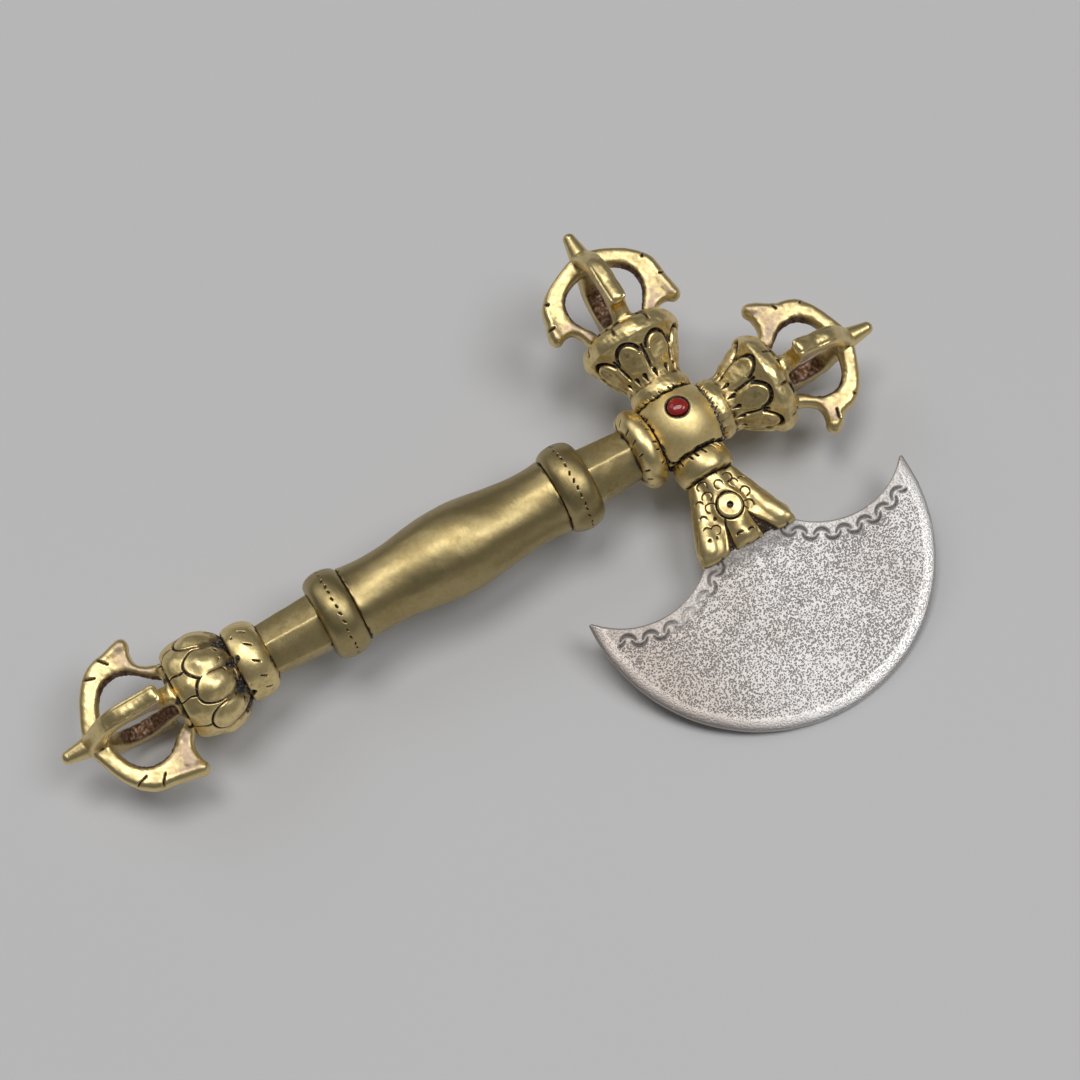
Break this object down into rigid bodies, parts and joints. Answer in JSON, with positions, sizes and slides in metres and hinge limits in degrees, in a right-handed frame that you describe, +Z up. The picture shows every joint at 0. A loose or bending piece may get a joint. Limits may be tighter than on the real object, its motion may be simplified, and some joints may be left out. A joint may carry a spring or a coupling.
{
  "type": "ritual chopper",
  "caption": "Kartika ritual chopper: crescent blade held in a makara head below a ball, a waisted handle, and half-vajra ends on lotus mounts.",
  "frame": {"origin": "bottom centre of the bounding box, on the surface the chopper lies on", "axes": "+X along the handle, from the pommel towards the right cage; +Y from the blade towards the top arm; +Z up, the side with the red stone"},
  "size_m": [0.15, 0.0896, 0.0284],
  "materials": {
    "cast_brass": "satin cast brass with dark patina in the recesses",
    "blade_iron": "pale grey iron, finely pitted, with a ground bevel",
    "rod_iron": "plain dark bar, out of sight",
    "red_stone": "polished opaque red stone"
  },
  "bodies": {
    "root": {"ball": "cast_brass", "handle_roll": "cast_brass", "upper_neck": "cast_brass", "upper_collar": "cast_brass", "grip": "cast_brass", "lower_collar": "cast_brass", "lower_neck": "cast_brass", "pommel_ring": "cast_brass", "pommel_lotus": "cast_brass", "pommel_cage": "cast_brass", "right_lotus": "cast_brass", "right_cage": "cast_brass", "top_lotus": "cast_brass", "top_cage": "cast_brass", "makara_roll": "cast_brass", "makara_head": "cast_brass", "eye_rivet": "cast_brass", "blade": "blade_iron", "handle_rod": "rod_iron", "right_stud": "rod_iron", "top_stud": "rod_iron", "makara_stud": "rod_iron", "red_stone": "red_stone"}
  },
  "joints": []
}
